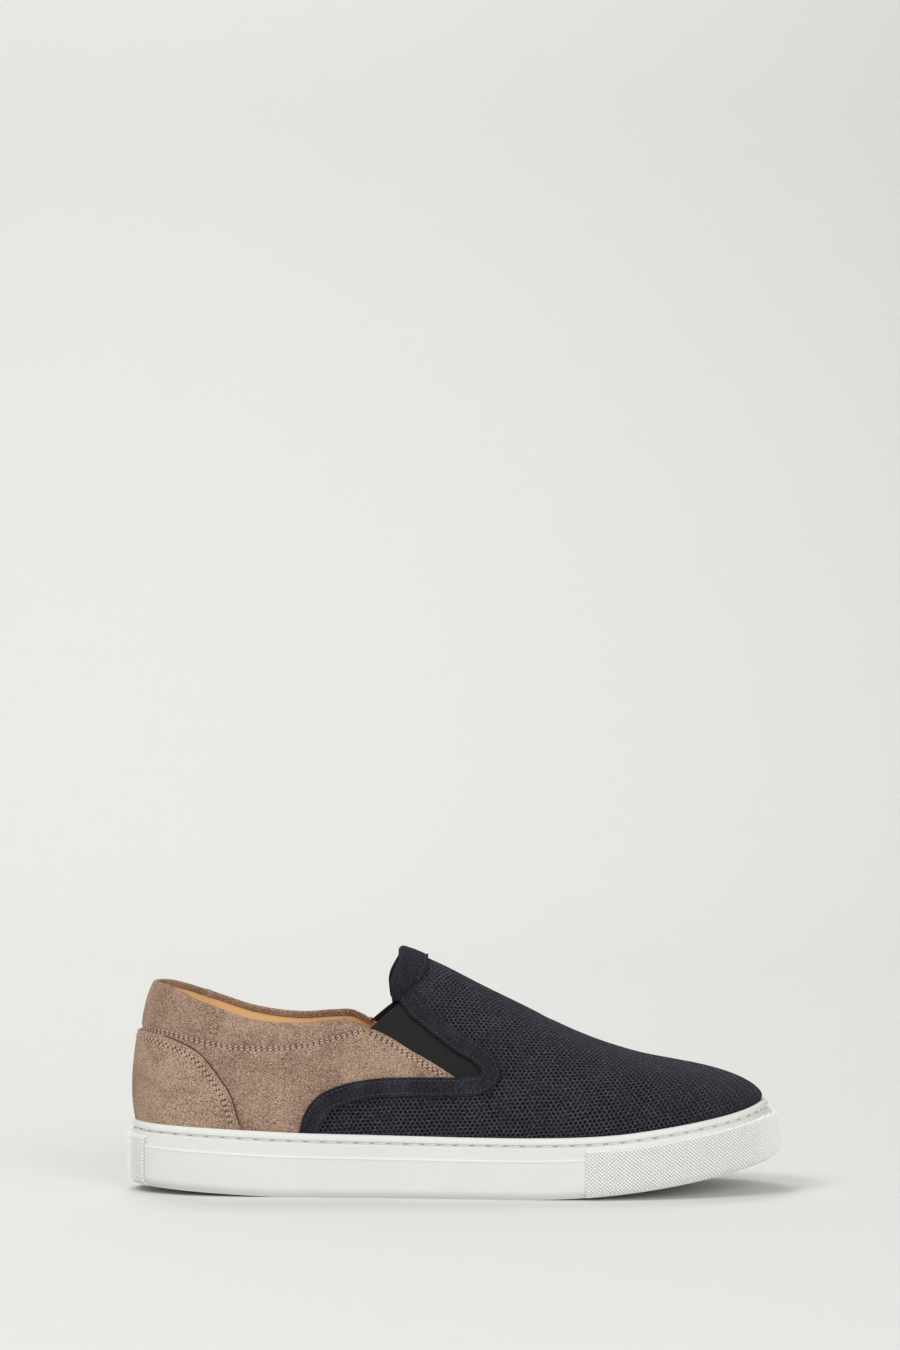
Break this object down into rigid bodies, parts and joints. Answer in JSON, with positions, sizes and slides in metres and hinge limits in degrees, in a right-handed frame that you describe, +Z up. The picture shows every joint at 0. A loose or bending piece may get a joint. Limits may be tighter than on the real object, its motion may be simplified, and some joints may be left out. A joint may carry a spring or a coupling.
{
  "type": "suede slip-on shoe",
  "caption": "Low slip-on shoe for the right foot: hollow suede upper, elastic side wedges, heel counter and a stitched rubber cupsole.",
  "frame": {"origin": "on the floor, under the middle of the outsole's box", "axes": "+X from heel to toe, +Y to the inner side of the right foot, +Z up"},
  "size_m": [0.2995, 0.1059, 0.1114],
  "materials": {
    "white_rubber": "off-white moulded rubber, satin",
    "taupe_suede": "napped suede, matte",
    "counter_suede": "napped suede, matte",
    "navy_suede": "napped suede, matte",
    "black_elastic": "ribbed elastic webbing, matte",
    "tan_leather": "smooth lining leather, soft sheen"
  },
  "bodies": {
    "root": {"sole": "white_rubber", "upper": "taupe_suede", "insole": "tan_leather", "heel_counter": "counter_suede", "vamp_band_outer": "navy_suede", "vamp_band_inner": "navy_suede", "tongue_band": "navy_suede", "gore_outer": "black_elastic", "gore_inner": "black_elastic"}
  },
  "joints": []
}
